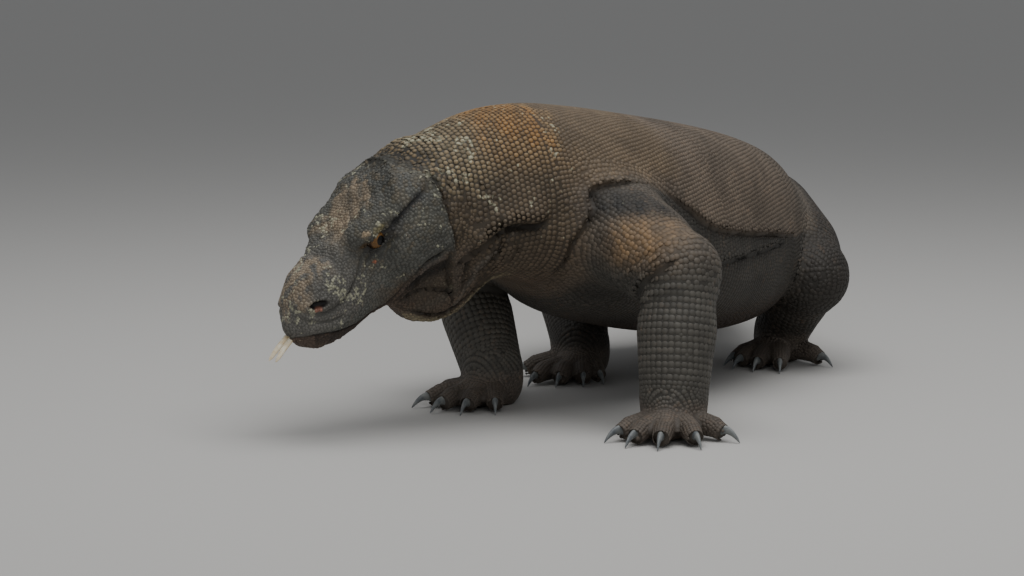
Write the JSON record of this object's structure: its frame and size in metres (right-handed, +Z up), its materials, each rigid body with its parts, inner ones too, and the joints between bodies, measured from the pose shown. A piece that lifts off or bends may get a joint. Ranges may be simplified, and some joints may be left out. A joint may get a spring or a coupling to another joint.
{
  "type": "komodo dragon",
  "caption": "Life-size still model of a Komodo dragon in mid stride, head low and turned, forked tongue out, tail trailing on the ground.",
  "frame": {"origin": "on the ground under the middle of the whole animal's box", "axes": "+Z up; the animal faces -Y, its left side towards +X, its tail trailing towards +Y"},
  "size_m": [1.1192, 2.3004, 0.463],
  "materials": {
    "head_hide": "fine-scaled dark slate hide with pale speckles, dull sheen",
    "neck_hide": "round scales, yellow-brown and grey-green, matt",
    "body_hide": "small scales in cross rows, grey-brown, matt",
    "limb_hide": "small scales in rings, slate grey stained brown, matt",
    "eye": "wet gloss, dark pupil in a golden-brown iris",
    "tongue": "cream, moist",
    "claw": "blue-grey horn, satin"
  },
  "bodies": {
    "root": {"arm_left_lower": "limb_hide", "arm_left_upper": "limb_hide", "arm_right_lower": "limb_hide", "arm_right_upper": "limb_hide", "claw_foot_left_1": "claw", "claw_foot_left_2": "claw", "claw_foot_left_3": "claw", "claw_foot_left_4": "claw", "claw_foot_left_5": "claw", "claw_foot_right_1": "claw", "claw_foot_right_2": "claw", "claw_foot_right_3": "claw", "claw_foot_right_4": "claw", "claw_foot_right_5": "claw", "claw_hand_left_1": "claw", "claw_hand_left_2": "claw", "claw_hand_left_3": "claw", "claw_hand_left_4": "claw", "claw_hand_left_5": "claw", "claw_hand_right_1": "claw", "claw_hand_right_2": "claw", "claw_hand_right_3": "claw", "claw_hand_right_4": "claw", "claw_hand_right_5": "claw", "eye_left": "eye", "eye_right": "eye", "foot_left": "limb_hide", "foot_right": "limb_hide", "hand_left": "limb_hide", "hand_right": "limb_hide", "head": "head_hide", "leg_left_shank": "limb_hide", "leg_left_thigh": "limb_hide", "leg_right_shank": "limb_hide", "leg_right_thigh": "limb_hide", "lower_jaw": "head_hide", "neck": "neck_hide", "tail_1": "body_hide", "tail_2": "body_hide", "tail_3": "body_hide", "tail_4": "body_hide", "tail_5": "body_hide", "tongue": "tongue", "trunk": "body_hide"}
  },
  "joints": []
}
